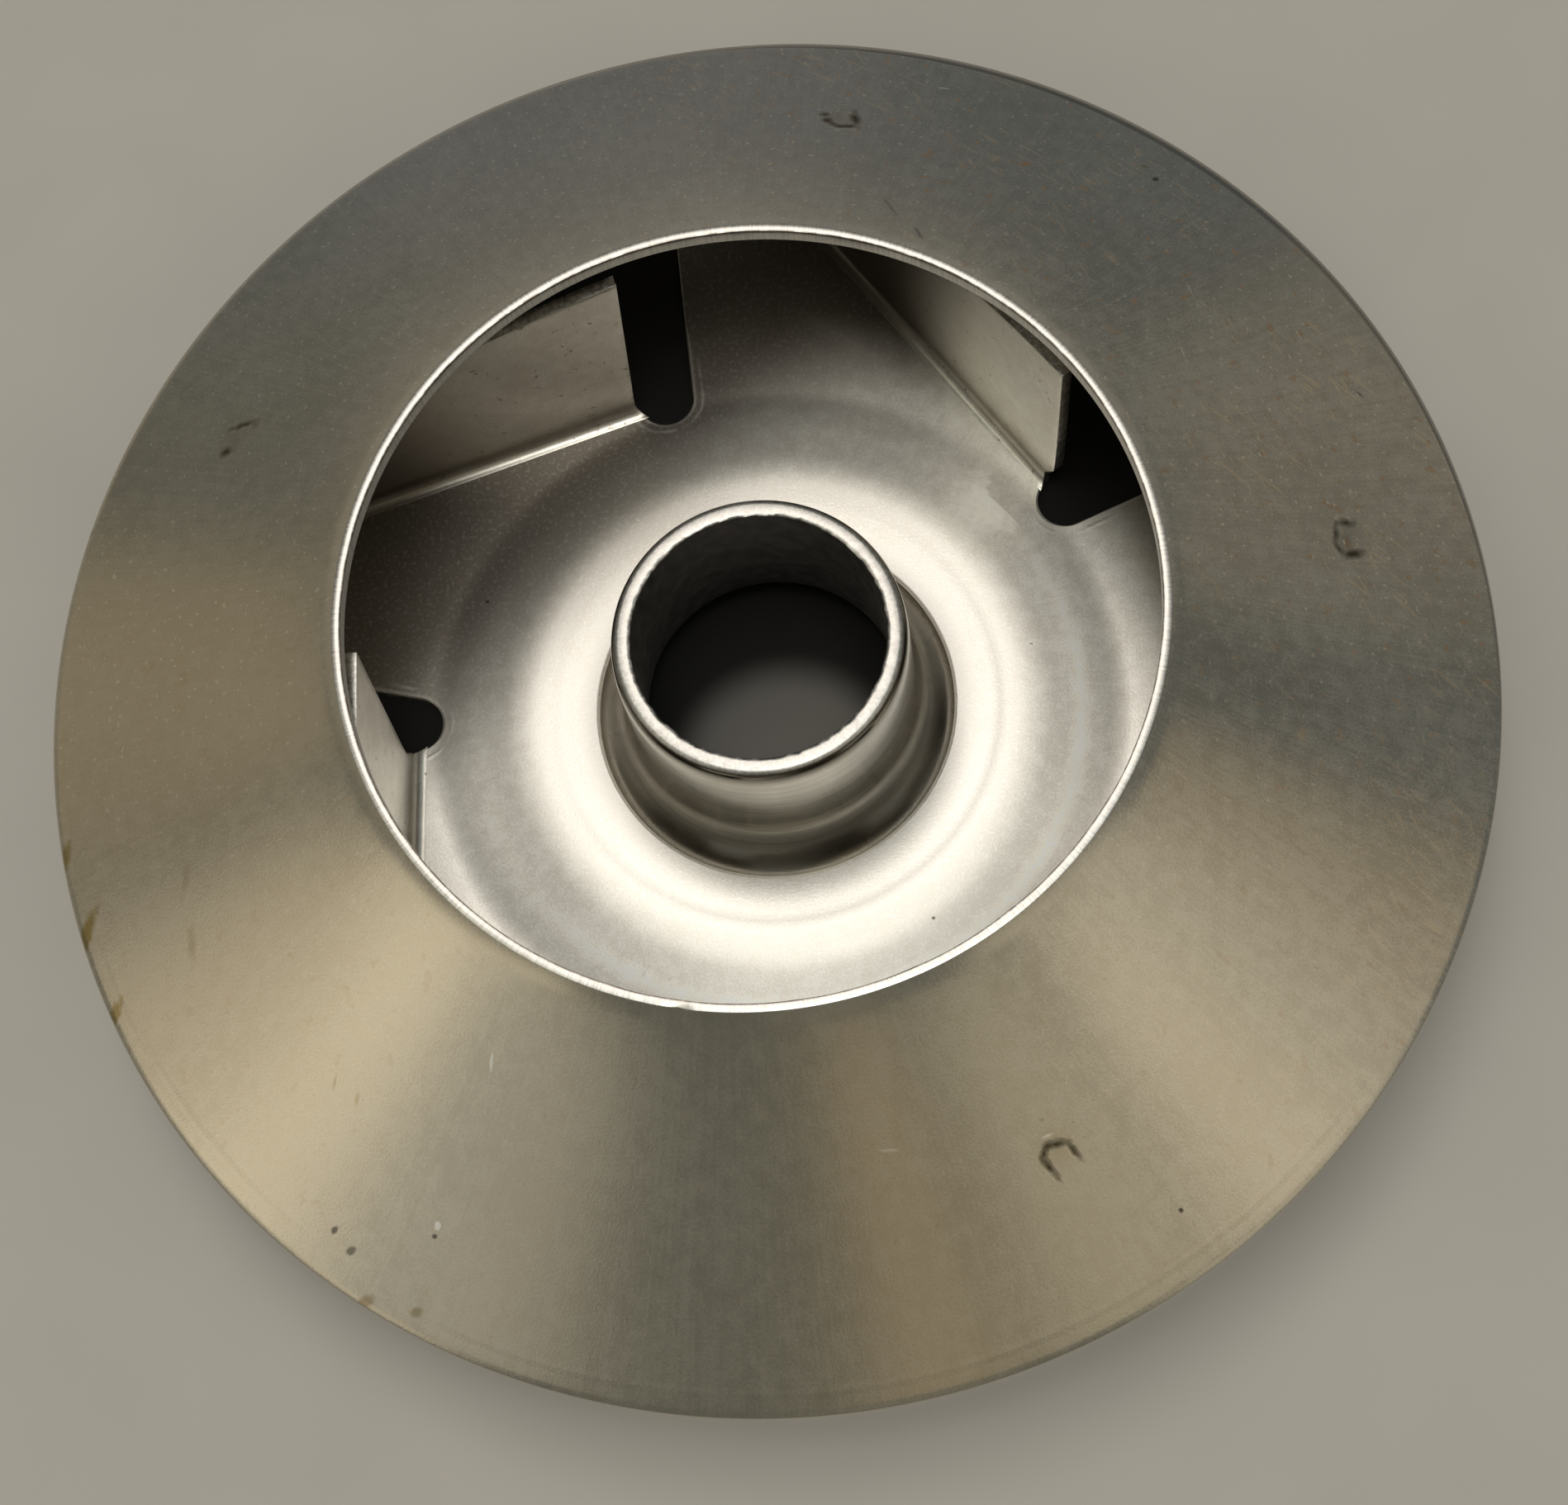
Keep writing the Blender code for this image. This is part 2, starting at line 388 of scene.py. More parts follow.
def markFaces(piece, index, wanted):
    for face in piece.data.polygons:
        x, y, z = face.center / mm
        if wanted(x, y, z):
            face.material_index = index


# front cover

cover = {
    "rimRadius": 65.0, "rimHeight": 13.6, "sheet": 1.1, "steps": 300, "rows": 46,
    "eyeOuter": 34.96, "eyeInner": 34.21, "eyeTop": 30.95,
    "slopes": [(65.0, 25.4), (60.0, 26.1), (55.0, 27.1), (50.0, 28.1), (45.0, 29.5), (42.0, 30.8),
               (40.0, 31.8), (38.0, 33.0), (36.4, 34.2), (35.7, 37.0), (34.96, 50.0)],
    "uneven": 0.05, "nick": (-5.1, -34.5), "nickDepth": 0.16, "nickWidth": 0.35,
    # the rim's own finish starts at rimBand, and marks are drawn outside markFrom in five sectors
    "rimBand": 62.6, "markFrom": 35.4, "firstSector": 74.0,
    # how far the eye's own finish reaches, and how far a marked finish reaches past each mark
    "landBand": 0.12, "markReach": 1.4, "markMargin": 1.0, "rimReach": 3.5,
    "dark": (0.412, 0.396, 0.356, 1), "light": (0.530, 0.512, 0.468, 1),
}
yellowStain, brownStain, burnt = (0.30, 0.225, 0.070), (0.30, 0.23, 0.13), (0.070, 0.050, 0.026)
darkDirt, paleMetal = (0.065, 0.058, 0.050), (0.80, 0.77, 0.70)
rustRed, dryStain = (0.55, 0.30, 0.14), (0.58, 0.49, 0.28)
# imprints of the welds over the vanes, each a soft halo and a few strokes, listed one by one from the photo
# strokes and spots alike: x, y, half width, stretch, turn, strength, colour, softness, in mm and degrees
weldStrokes = [
    (6.9, 52.4, 1.7, 1.1, 0, 0.32, brownStain, 1.1), (51.1, 8.3, 1.6, 1.2, 80, 0.32, darkDirt, 1.1),
    (24.6, -44.2, 2.0, 1.2, 20, 0.34, yellowStain, 1.1), (-48.2, 20.8, 1.7, 1.4, 60, 0.3, brownStain, 1.1),
    (5.4, 52.9, 0.61, 1.1, -12, 0.81, burnt, 0.85), (5.7, 51.9, 0.61, 1.1, -20, 0.92, burnt, 0.85),
    (6.3, 51.4, 0.44, 2.1, -34, 0.76, burnt, 0.85), (7.5, 51.0, 0.42, 3.7, 1, 0.97, burnt, 0.85),
    (8.4, 52.2, 0.66, 2.7, -79, 0.97, burnt, 0.85), (7.0, 53.8, 0.12, 9.7, 4, 0.35, brownStain, 0.7),
    (51.2, 9.9, 0.52, 2.3, 14, 0.92, burnt, 0.85), (50.2, 8.6, 0.39, 4.0, -95, 0.76, burnt, 0.85),
    (50.4, 7.2, 0.35, 2.6, -62, 0.81, burnt, 0.85), (51.6, 7.0, 0.57, 3.0, 23, 0.97, burnt, 0.85),
    (50.9, 8.0, 0.1, 2.9, -76, 0.8, paleMetal, 0.5), (52.1, 8.0, 0.09, 2.8, -72, 0.6, paleMetal, 0.5),
    (23.9, -45.7, 0.38, 3.8, -49, 0.3, yellowStain, 1.0), (24.0, -45.8, 0.44, 3.2, 133, 0.99, burnt, 0.85),
    (23.5, -44.8, 0.44, 1.9, 70, 0.99, burnt, 0.85), (24.5, -44.0, 0.44, 3.3, 13, 0.99, burnt, 0.85),
    (26.0, -44.5, 0.36, 3.6, -47, 0.86, burnt, 0.85), (23.8, -43.4, 0.16, 4.0, 22, 0.8, paleMetal, 0.8),
    (23.4, -42.2, 0.23, 1.5, -7, 0.35, darkDirt, 0.9), (25.9, -42.3, 0.15, 1.1, 2, 0.3, darkDirt, 0.9),
    (-34.9, -38.3, 0.18, 4.6, 76, 0.6, brownStain, 0.9), (-32.9, -39.7, 0.27, 3.0, 78, 0.5, yellowStain, 1.0),
    (-47.6, 22.0, 0.44, 4.8, 4, 0.92, burnt, 0.85), (-46.0, 21.6, 0.57, 1.4, -58, 0.43, burnt, 0.85),
    (-48.9, 19.4, 0.85, 1.1, 12, 0.92, burnt, 0.85), (-49.8, 21.1, 0.15, 4.4, -85, 0.35, brownStain, 0.9),
]
# stains, pits, rust spots and single scratches
coverSpots = [
    (-62.6, -17.5, 0.8, 3.2, 75, 0.75, yellowStain, 0.5),
    (-60.0, -24.5, 0.85, 4.2, 67, 0.85, yellowStain, 0.5),
    (-56.6, -31.2, 0.7, 3.0, 60, 0.8, yellowStain, 0.5), (-49.3, -20.5, 0.6, 3.0, 80, 0.35, brownStain, 0.8),
    (-48.6, -26.0, 0.6, 3.6, 95, 0.4, brownStain, 0.8), (-63.6, 14.4, 0.6, 1.2, 80, 0.85, darkDirt, 0.5),
    (36.4, 46.9, 0.3, 1.3, 30, 0.8, darkDirt, 0.5), (34.7, -48.7, 0.28, 1.0, 0, 0.9, darkDirt, 0.4),
    (-35.4, -49.8, 0.32, 1.5, 50, 0.8, darkDirt, 0.5), (-34.0, -51.5, 0.42, 1.3, 20, 0.7, darkDirt, 0.5),
    (-26.2, -49.8, 0.3, 1.3, 80, 0.9, paleMetal, 0.4), (-26.5, -50.6, 0.25, 1.2, 10, 0.8, darkDirt, 0.5),
    (-33.0, -55.6, 0.6, 1.8, 25, 0.75, brownStain, 0.5), (-28.4, -56.4, 0.5, 1.7, 20, 0.7, brownStain, 0.5),
    (-20.8, -37.6, 0.2, 4.5, 80, 0.7, paleMetal, 0.5), (11.2, -44.7, 0.12, 8.0, 4, 0.6, paleMetal, 0.5),
    (14.7, 43.5, 0.15, 5.9, -3, 0.6, rustRed, 0.8), (16.9, 42.9, 0.11, 14.0, -9, 0.6, rustRed, 0.6),
    (23.2, 46.9, 0.13, 8.3, -33, 0.55, rustRed, 0.8), (24.2, 46.7, 0.27, 3.0, 32, 0.65, rustRed, 0.7),
    (31.6, 48.9, 0.2, 4.6, -53, 0.5, dryStain, 0.8), (35.5, 48.5, 0.25, 1.7, -2, 0.6, yellowStain, 0.7),
    (38.7, 32.5, 0.11, 8.6, -70, 0.6, paleMetal, 0.6), (39.6, 31.3, 0.08, 9.0, -32, 0.5, paleMetal, 0.7),
    (37.4, 24.8, 0.11, 6.0, -76, 0.7, paleMetal, 0.6), (48.7, 34.6, 0.15, 3.2, -66, 0.65, rustRed, 0.7),
    (11.9, 38.4, 0.17, 10.4, -65, 0.45, darkDirt, 0.8), (14.4, 34.8, 0.24, 5.0, -69, 0.6, darkDirt, 0.8),
    (17.0, 37.4, 0.18, 1.6, -9, 0.65, rustRed, 0.7), (16.6, 57.7, 0.14, 5.4, -7, 0.9, paleMetal, 0.5),
    (29.7, 31.6, 0.11, 7.8, -19, 0.5, paleMetal, 0.7), (13.3, 53.5, 0.18, 1.5, -20, 0.6, rustRed, 0.7),
    (53.9, 24.0, 0.18, 3.6, -39, 0.7, darkDirt, 0.7), (43.7, 15.1, 0.11, 2.6, -53, 0.8, paleMetal, 0.5),
    (45.0, 20.3, 0.11, 2.0, -46, 0.7, paleMetal, 0.5), (61.5, 20.5, 0.23, 3.2, -59, 0.8, darkDirt, 0.6),
    (17.7, 48.4, 0.14, 6.5, -55, 0.5, rustRed, 0.8), (28.7, 49.0, 0.2, 2.8, 42, 0.45, dryStain, 0.8),
    (34.4, 47.5, 0.14, 3.8, -13, 0.5, dryStain, 0.8),
]


def coverLine():
    points = [(cover["rimRadius"], 0.0)]
    step = (cover["rimRadius"] - cover["eyeOuter"]) / cover["rows"]
    for i in range(cover["rows"]):
        r0 = points[-1][0]
        slope = between(r0 - step / 2, cover["slopes"])
        points.append((r0 - step, points[-1][1] + step * math.tan(math.radians(slope))))
    stretch = (cover["eyeTop"] - 0.05 - cover["rimHeight"]) / points[-1][1]
    return [(r, cover["rimHeight"] + z * stretch) for r, z in points]


coverTop = coverLine()
coverUnder = [p for p in offsetLine(coverTop, cover["sheet"]) if p[0] > cover["eyeInner"] + 0.25]
coverUnder[0] = (cover["rimRadius"] - 0.02, coverUnder[0][1] - 0.2)


def makeCover():
    inner = cover["eyeInner"]
    outer = cover["eyeOuter"]
    top = cover["eyeTop"]
    wallFoot = between(inner + 0.4, coverUnder) + 0.05
    rim = [(65.0, 13.35), (64.97, 13.5), (64.88, 13.62)]
    land = [(outer - 0.03, top - 0.02), (outer - 0.10, top), (inner + 0.09, top), (inner + 0.02, top - 0.03),
            (inner, top - 0.1)]
    wall = [(inner, top - 0.6), (inner, wallFoot), (inner + 0.12, wallFoot - 0.12)]
    outline = rim + coverTop[1:] + land + wall + coverUnder[::-1]
    piece = spinProfile("coverSkin", outline, cover["steps"])
    nickX, nickY = cover["nick"]
    for vertex in piece.data.vertices:
        x, y, z = vertex.co / mm
        r = math.hypot(x, y)
        if z > top - 0.15 and r < inner + 0.3:
            # the bored edge is not quite even
            uneven = noise.noise(Vector((x * 0.35, y * 0.35, 2.0))) * cover["uneven"]
            vertex.co.x += x / r * uneven * mm
            vertex.co.y += y / r * uneven * mm
        if z > top - 0.3 and r < outer + 0.1:
            bite = math.exp(-((x - nickX) ** 2 + (y - nickY) ** 2) / cover["nickWidth"])
            vertex.co.z -= bite * cover["nickDepth"] * mm
            vertex.co.y += bite * 0.14 * mm
    smoothTo(piece, 26)
    return piece


def coverBase(tree, place):
    # satin sheet: warmer towards the near left, bluish at the far side, with rust specks, dust and scratches
    grain = useGroup(tree, shared["levelGrain"], Vector=place, Streaks=0.22)
    x, y = planPlace(tree, place)
    colour = tint(tree, ramp(tree, grain["Tone"], 0.36, 0.64), cover["dark"], cover["light"])
    rough = plus(tree, 0.19, times(tree, grain["Tone"], 0.16))
    warmTint = ramp(tree, blend(tree, x, y, 0.8, 1.0), 40.0, -40.0, 0.0, 0.5)
    colour = tint(tree, warmTint, colour, (0.600, 0.515, 0.360, 1))
    colour = tint(tree, ramp(tree, y, 24.0, 52.0, 0.0, 0.45), colour, (0.400, 0.412, 0.430, 1))
    upperRight = ramp(tree, blend(tree, x, y, 0.8, 0.6), 8.0, 52.0, 0.10, 0.55)
    specks = times(tree, ramp(tree, cloud(tree, place, 560.0, 2.0, 0.7), 0.665, 0.73), upperRight)
    colour = tint(tree, specks, colour, (0.50, 0.31, 0.17, 1))
    dust = ramp(tree, cloud(tree, place, 1700.0, 1.0, 0.6), 0.715, 0.765, 0.0, 0.6)
    dust = times(tree, dust, ramp(tree, y, -35.0, 5.0, 0.1, 1.0))
    colour = tint(tree, dust, colour, (0.80, 0.75, 0.66, 1))
    scratch = useGroup(tree, shared["scratches"], Vector=place, Amount=upperRight)["Mask"]
    colour = tint(tree, times(tree, scratch, 0.8), colour, (0.74, 0.60, 0.45, 1))
    return x, y, colour, plus(tree, rough, times(tree, specks, 0.2)), grain["Height"]


def coverSheetMaterial():
    material, tree, place = startMaterial("satinCoverSteel")
    *_, colour, rough, height = coverBase(tree, place)
    return finishMaterial(material, colour, rough, height, 0.5, 0.000012)


def coverMarkedMaterial(name, spots):
    # the same sheet where it carries a weld imprint, a stain or a scratch
    material, tree, place = startMaterial(name)
    *_, colour, rough, height = coverBase(tree, place)
    uneven = cloud(tree, place, 1100.0, 2.0, 0.6)
    colour, rough, dent = addSpots(tree, place, uneven, colour, rough, spots)
    if dent is not None:
        height = minus(tree, height, times(tree, dent, 6.0))
    return finishMaterial(material, colour, rough, height, 0.5, 0.000015)


def coverRimMaterial(spots):
    # the turned edge, of uneven width, with a faint pressed line inside it at the front
    material, tree, place = startMaterial("turnedRimSteel")
    x, y, colour, rough, height = coverBase(tree, place)
    uneven = cloud(tree, place, 1100.0, 2.0, 0.6)
    colour, rough, _ = addSpots(tree, place, uneven, colour, rough, spots)
    radius = polarOf(tree, place)["Radius"]
    lean = blend(tree, x, y, 0.55 / cover["rimRadius"], 0.83 / cover["rimRadius"])
    width = plus(tree, 0.14, times(tree, calc(tree, "POWER", calc(tree, "MAXIMUM", lean, 0.0), 3.0), 1.15))
    edge = minus(tree, radius, minus(tree, cover["rimRadius"], width))
    turnedEdge = ramp(tree, edge, -0.04, 0.04)
    rings = useGroup(tree, shared["rings"], Vector=place, Pitch=9.0, Climb=0.0)["Tone"]
    colour = tint(tree, times(tree, turnedEdge, 0.85), colour,
                  tint(tree, ramp(tree, rings, 0.35, 0.7), (0.20, 0.19, 0.185, 1), (0.50, 0.48, 0.45, 1)))
    rough = minus(tree, rough, times(tree, turnedEdge, 0.08))
    inner = line(tree, edge, 0.0, 0.08)
    outer = ramp(tree, radius, 64.84, 64.95, 0.0, 0.75)
    colour = tint(tree, calc(tree, "MAXIMUM", times(tree, inner, 0.3), outer), colour, (0.72, 0.66, 0.56, 1))
    pressed = line(tree, radius, 63.1, 0.45)
    pressed = times(tree, pressed, ramp(tree, y, -5.0, -40.0))
    height = plus(tree, height, times(tree, pressed, 2.0))
    return finishMaterial(material, colour, rough, height, 0.5, 0.000015)


def eyeLandMaterial():
    # bright bored land of the eye, with fine ticks across it
    material, tree, place = startMaterial("boredEyeSteel")
    polar = polarOf(tree, place)
    ticks = cloud(tree, scaled(tree, polar["Away"], 190.0), 1.0, 1.0, 0.6, False)
    streak = useGroup(tree, shared["rings"], Vector=place, Pitch=6.0, Climb=1.0)["Tone"]
    mixed = blend(tree, ticks, streak, 0.6, 0.4)
    colour = tint(tree, ramp(tree, mixed, 0.34, 0.62), (0.36, 0.345, 0.32, 1), (0.54, 0.52, 0.485, 1))
    burr = times(tree, ramp(tree, polar["Height"], 30.60, 30.86), ramp(tree, polar["Radius"], 34.40, 34.26))
    burr = times(tree, burr, ramp(tree, cloud(tree, place, 900.0, 2.0, 0.6), 0.35, 0.6, 0.3, 0.9))
    colour = tint(tree, burr, colour, (0.16, 0.135, 0.11, 1))
    rough = plus(tree, 0.22, times(tree, mixed, 0.22))
    return finishMaterial(material, colour, rough, mixed, 0.3, 0.000015)


def dressCover(piece):
    # a sheet material for each fifth of the cover, since each holds only the marks that lie in it
    marks = weldStrokes + coverSpots
    sectors = [[], [], [], [], []]
    for mark in marks:
        angle = math.degrees(math.atan2(mark[1], mark[0])) - cover["firstSector"]
        sectors[int((angle % 360.0) // fifth)].append(mark)
    atRim = [mark for mark in marks if math.hypot(mark[0], mark[1]) > cover["rimBand"] - cover["rimReach"]]
    addFinishes(piece, coverSheetMaterial(), eyeLandMaterial(), coverRimMaterial(atRim))
    landFrom = cover["eyeTop"] - cover["landBand"]
    landTo = cover["eyeInner"] + cover["landBand"]
    markFaces(piece, 1, lambda x, y, z: z > landFrom or math.hypot(x, y) < landTo)
    markFaces(piece, 2, lambda x, y, z: math.hypot(x, y) > cover["rimBand"])
    for sector, spots in enumerate(sectors):
        circles = [(s[0], s[1], s[2] * s[3] * cover["markReach"] + cover["markMargin"]) for s in spots]
        addFinishes(piece, coverMarkedMaterial("markedCoverSteel%d" % (sector + 1), spots))
        markFaces(piece, 3 + sector, lambda x, y, z: any(
            math.hypot(x - cx, y - cy) < reach for cx, cy, reach in circles)
            and cover["markFrom"] < math.hypot(x, y) < cover["rimBand"])


coverSkin = makeCover()
dressCover(coverSkin)
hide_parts("front_shroud")
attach(coverSkin, "root")
print("front cover made")


# back plate with its windows

plate = {
    "radius": 64.2, "top": 1.1, "bossTop": 3.42, "hole": 16.7, "steps": 300,
    "slopes": [(22.6, 0.0), (25.8, 0.27), (31.2, 0.26), (33.4, 0.0)],
    "sheet": 1.1, "slotX": 0.45, "slotY": 34.75, "slotRadius": 2.65, "slotLean": 13.3,
    "windowOuter": 60.6, "cutLine": 33.55, "windowEnd": -48.7, "chamfer": 0.13,
    # where each finish lies: the boss and its step, a ring of zones round the slots, and the cut edges
    "bossFinish": 33.2, "slotFinish": 29.5, "slotReach": 7.5, "cutInner": 31.0, "cutOuter": 63.0,
    # these sheet colours are brighter than the cover's: painted light standing in for light bounced inside
    # the part
    "dark": (0.840, 0.800, 0.735, 1), "light": (1.000, 0.970, 0.910, 1),
}
firstTurn = 20.0  # the first vane and window, turned from where they are drawn
foldLead = 22.0


def stepFall(r):
    # how far the step has come down at radius r, from its table of steepness
    fallen = 0.0
    for (r0, s0), (r1, s1) in zip(plate["slopes"], plate["slopes"][1:]):
        run = max(0.0, min(r, r1) - r0)
        fallen += run * (s0 + (s1 - s0) * run / (r1 - r0) / 2.0)
    return fallen


def windowOutline(grow):
    cx, cy, slotRadius = plate["slotX"], plate["slotY"], plate["slotRadius"] + grow
    outer = plate["windowOuter"] + grow
    lean = math.radians(plate["slotLean"])
    stop = -math.pi + math.asin((cy - plate["cutLine"]) / slotRadius)
    points = []
    for i in range(25):
        a = -lean + (stop + lean) * i / 24.0
        points.append((cx + slotRadius * math.cos(a), cy + slotRadius * math.sin(a)))
    left = plate["windowEnd"] - grow
    points.append((left, plate["cutLine"]))
    points.append((left, math.sqrt(outer ** 2 - left ** 2)))
    start = math.atan2(points[-1][1], points[-1][0])
    px, py = points[0]
    along = (math.sin(lean), math.cos(lean))
    b = px * along[0] + py * along[1]
    reach = -b + math.sqrt(b * b - (px * px + py * py - outer ** 2))
    corner = (px + along[0] * reach, py + along[1] * reach)
    end = math.atan2(corner[1], corner[0])
    for i in range(1, 24):
        a = start + (end - start) * i / 24.0
        points.append((outer * math.cos(a), outer * math.sin(a)))
    points.append(corner)
    return points


def makeWindowCutter(turn):
    # a filled circle pulled onto the window's outline, extruded up, with a flared mouth for the broken edge
    top, chamfer = plate["top"], plate["chamfer"]
    levels = [(-1.5, 0.0), (top - chamfer, 0.0), (top + 1.2, chamfer + 1.2)]
    count = len(windowOutline(0.0))
    deselectAll()
    bpy.ops.mesh.primitive_circle_add(vertices=count, radius=0.01, fill_type="NGON", location=(0, 0, 0))
    cutter = bpy.context.active_object
    goTo("EDIT")
    selectMesh()
    for level in range(2):
        drawOn(0, 0, 5.0)
    goTo("OBJECT")
    for vertex in cutter.data.vertices:
        level = round(vertex.co.z / mm / 5.0)
        around = round((math.atan2(vertex.co.y, vertex.co.x) % (2 * math.pi)) / (2 * math.pi) * count) % count
        z, grow = levels[level]
        x, y = turned(*windowOutline(grow)[around], turn)
        vertex.co = (x * mm, y * mm, z * mm)
    faceOutwards(cutter)
    return cutter


def makePlate():
    top = plate["top"]
    boss = plate["bossTop"]
    outline = [(plate["hole"], boss - 0.8), (plate["hole"], boss - 0.28), (plate["hole"] + 0.06, boss - 0.13),
               (plate["hole"] + 0.18, boss - 0.03), (plate["hole"] + 0.34, boss), (19.5, boss), (22.2, boss)]
    first, last = plate["slopes"][0][0], plate["slopes"][-1][0]
    scale = (boss - top) / stepFall(last)
    for i in range(31):
        r = first + (last - first) * i / 30.0
        outline.append((r, boss - scale * stepFall(r)))
    outline += [(33.8, top), (34.6, top), (36.0, top), (40.0, top), (50.0, top), (plate["radius"] - 0.2, top),
                (plate["radius"] - 0.05, top - 0.06), (plate["radius"], top - 0.2), (plate["radius"], 0.15),
                (plate["radius"] - 0.1, 0.0), (50.0, 0.0), (40.0, 0.0)]
    for i in range(13):
        r = last - (last - first) * i / 12.0
        outline.append((r, boss - plate["sheet"] - scale * stepFall(r)))
    outline.append((plate["hole"] + 0.1, boss - plate["sheet"]))
    piece = spinProfile("plateSkin", outline, plate["steps"])
    cutters = [makeWindowCutter(firstTurn + fifth * k) for k in range(5)]
    deselectAll()
    for cutter in cutters:
        cutter.select_set(True)
    bpy.context.view_layer.objects.active = cutters[0]
    bpy.ops.object.join()
    joined = bpy.context.active_object
    applyModifier(piece, "BOOLEAN", operation="DIFFERENCE", solver="EXACT", object=joined)
    bpy.data.objects.remove(joined, do_unlink=True)
    smoothTo(piece, 30)
    return piece


def foldFive(tree, x, y):
    # the plate repeats five times: each point is turned into the first vane's own axes, in millimetres
    angle = calc(tree, "ARCTAN2", y, x)
    shifted = minus(tree, angle, math.radians(90.0 + firstTurn - foldLead))
    turns = calc(tree, "FLOOR", calc(tree, "DIVIDE", shifted, math.radians(fifth)))
    local = minus(tree, minus(tree, shifted, times(tree, turns, math.radians(fifth))), math.radians(foldLead))
    radius = spread(tree, x, y)
    localX = times(tree, times(tree, radius, calc(tree, "SINE", local)), -1.0)
    localY = times(tree, radius, calc(tree, "COSINE", local))
    return localX, localY


def plateBase(tree, place):
    # fine satin sheet with bright crystals, and painted shade in mottled dark brown at the far left and under
    # the cover
    grain = useGroup(tree, shared["levelGrain"], Vector=place, Streaks=0.10)
    x, y = planPlace(tree, place)
    colour = tint(tree, ramp(tree, grain["Tone"], 0.36, 0.66), plate["dark"], plate["light"])
    colour = tint(tree, times(tree, grain["Sparkle"], 0.7), colour, (1.0, 0.985, 0.95, 1))
    rough = plus(tree, 0.33, times(tree, grain["Tone"], 0.20))
    specks = cloud(tree, place, 2300.0, 2.0, 0.75)
    colour = tint(tree, ramp(tree, specks, 0.60, 0.70, 0.0, 0.7), colour, (1.0, 0.99, 0.96, 1))
    polar = polarOf(tree, place)
    radius = polar["Radius"]
    # painted shade: darker at the far left and under the cover, less near the rim and on the underside
    farLeft = ramp(tree, blend(tree, x, y, -0.70, 0.72), 14.5, 30.5)
    dark = calc(tree, "MAXIMUM", farLeft, ramp(tree, radius, 35.0, 43.0))
    dark = times(tree, dark, ramp(tree, radius, 62.5, 56.0, 0.35, 1.0))
    dark = times(tree, dark, ramp(tree, polar["Height"], 0.3, 0.9, 0.25, 1.0))
    warmTint = times(tree, ramp(tree, specks, 0.70, 0.52, 0.80, 0.93), dark)
    colour = tint(tree, warmTint, colour, (0.190, 0.163, 0.135, 1))
    # drawn step round the boss: painted brighter, coarser and less mirror-like
    onStep = times(tree, ramp(tree, radius, 21.3, 23.6), ramp(tree, radius, 34.0, 30.5))
    rough = plus(tree, rough, times(tree, onStep, 0.12))
    return x, y, radius, onStep, colour, rough, grain["Height"]


def plateSheetMaterial():
    material, tree, place = startMaterial("satinPlateSteel")
    *_, colour, rough, height = plateBase(tree, place)
    return finishMaterial(material, colour, rough, height, 0.45, 0.00002)


def plateBossMaterial(spots):
    # top of the boss painted darker towards the hole, grainy drawn step painted brighter with soft painted
    # rings, and the matt rubbed patch at the back right painted bright as a highlight
    material, tree, place = startMaterial("drawnPlateSteel")
    x, y, radius, onStep, colour, rough, height = plateBase(tree, place)
    uneven = cloud(tree, place, 1400.0, 2.0, 0.6)
    frontRight = ramp(tree, blend(tree, x, y, 0.6, -0.8), -12.0, 20.0, 0.2, 1.0)
    # painted light and shade: darker towards the hole, brighter on the step
    tone = times(tree, ramp(tree, radius, 16.6, 20.0, 0.53, 0.74), ramp(tree, radius, 21.4, 23.4, 1.0, 1.35))
    # painted highlight ring at 28.6 mm and painted shade ring at 21 mm, strongest at the front right
    rings = blend(tree, line(tree, radius, 28.6, 1.2), line(tree, radius, 21.0, 0.8), 0.22, -0.16)
    tone = plus(tree, tone, times(tree, rings, frontRight))
    colour = scaled(tree, colour, tone)
    # rub lines over a painted highlight: a bright matt patch at the back right
    rubAndSheenPlace = stretched(tree, place, Location=(0.0205, 0.0206, 0), Rotation=(0, 0, 0.80),
                    Scale=(0.0072, 0.0056, 1))
    rubAndSheenMask = useGroup(tree, shared["spot"], Vector=rubAndSheenPlace, Uneven=uneven, Soft=0.75, Strength=1.0)["Mask"]
    rubLines = stretched(tree, place, Rotation=(0, 0, -0.55), Scale=(9.0, 1.0, 1.0))
    rubNoise = cloud(tree, rubLines, 1500.0, 1.0, 0.6)
    rubbedAndSheen = times(tree, rubAndSheenMask, ramp(tree, rubNoise, 0.3, 0.7, 0.45, 1.0))
    colour = tint(tree, rubbedAndSheen, colour, (0.97, 0.94, 0.84, 1))
    matt = minus(tree, 1.0, calc(tree, "MAXIMUM", times(tree, onStep, 0.22), times(tree, rubAndSheenMask, 0.9)))
    tree.links.new(matt, tree.nodes["Principled BSDF"].inputs["Metallic"])
    colour, rough, _ = addSpots(tree, place, uneven, colour, rough, spots)
    return finishMaterial(material, colour, rough, height, 0.45, 0.00002)


